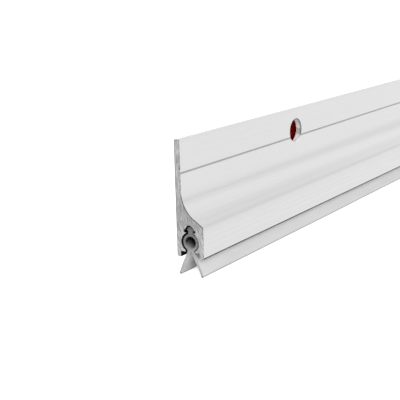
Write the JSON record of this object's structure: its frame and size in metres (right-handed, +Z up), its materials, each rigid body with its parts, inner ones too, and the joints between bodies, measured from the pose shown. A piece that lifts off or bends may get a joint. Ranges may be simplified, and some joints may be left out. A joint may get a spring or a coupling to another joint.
{
  "type": "door bottom seal",
  "caption": "Surface-fixed door bottom seal: satin aluminium strip with a screw-hole line, coved housing and soft twin-lip insert, taped along its back.",
  "frame": {"origin": "midway along the bar, at the height of the screw holes, on the outer face of the tape's release liner, where the face of the door goes", "axes": "+X along the bar, +Y into the door, +Z up with the lips at the bottom"},
  "size_m": [0.914, 0.0117, 0.0462],
  "materials": {
    "satin_aluminium": "satin anodised, fine extrusion lines along the bar, sawn ends",
    "grey_rubber": "matt, soft, smooth extruded; the hollow down its tube only makes it soft and fits nothing",
    "clear_tape": "clear tacky adhesive tape",
    "red_liner": "thin deep red release film"
  },
  "bodies": {
    "root": {"carrier": "satin_aluminium", "seal_insert": "grey_rubber", "adhesive_tape": "clear_tape", "release_liner": "red_liner"}
  },
  "joints": []
}
